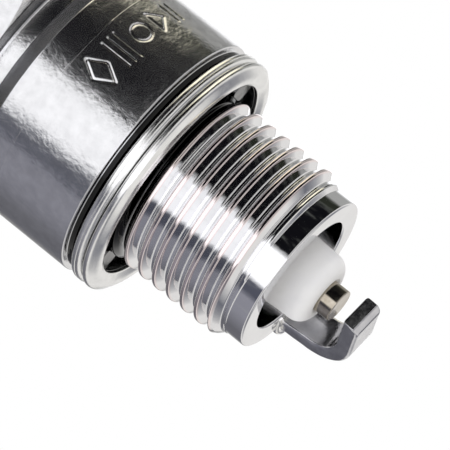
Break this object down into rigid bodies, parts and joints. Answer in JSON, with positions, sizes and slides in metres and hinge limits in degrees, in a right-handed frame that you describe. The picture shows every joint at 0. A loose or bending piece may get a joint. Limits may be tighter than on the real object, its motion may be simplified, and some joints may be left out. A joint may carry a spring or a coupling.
{
  "type": "spark plug",
  "caption": "Short-reach spark plug with a hexagon, a captive folded gasket, a projected insulator nose and a ribbed insulator with a screw-on terminal nut.",
  "frame": {"origin": "on the plug's axis, in the plane of the shell's gasket seat", "axes": "+Z along the axis towards the terminal; the ground electrode is welded on at the +Y side; two flats of the hexagon face +X and -X"},
  "size_m": [0.0208, 0.024, 0.0692],
  "materials": {
    "shell_steel": "bright nickel plate",
    "gasket_steel": "bright plated sheet",
    "ground_alloy": "satin nickel alloy",
    "centre_alloy": "turned nickel alloy",
    "alumina": "white, matt at the nose and glazed above",
    "copper": "bare copper",
    "seal_glass": "dark fused glass and metal powder",
    "terminal_steel": "bright nickel plate",
    "packing_steel": "plain soft steel",
    "talc": "pressed powder"
  },
  "bodies": {
    "plug": {"shell": "shell_steel", "ground_electrode": "ground_alloy", "insulator": "alumina", "centre_electrode": "centre_alloy", "copper_core": "copper", "glass_seal": "seal_glass", "terminal_stud": "terminal_steel", "seat_washer": "packing_steel", "lower_packing_ring": "packing_steel", "talc_packing": "talc", "upper_packing_ring": "packing_steel"},
    "gasket": {"gasket": "gasket_steel"},
    "terminal_nut": {"terminal_nut": "terminal_steel"}
  },
  "joints": [
    {"name": "gasket_float", "type": "slide", "parent": "plug", "child": "gasket", "axis": [0, 0, 1], "range_m": [0, 0.00018]},
    {"name": "terminal_nut_lift", "type": "slide", "parent": "plug", "child": "terminal_nut", "axis": [0, 0, 1], "range_m": [0, 0.0062]}
  ]
}
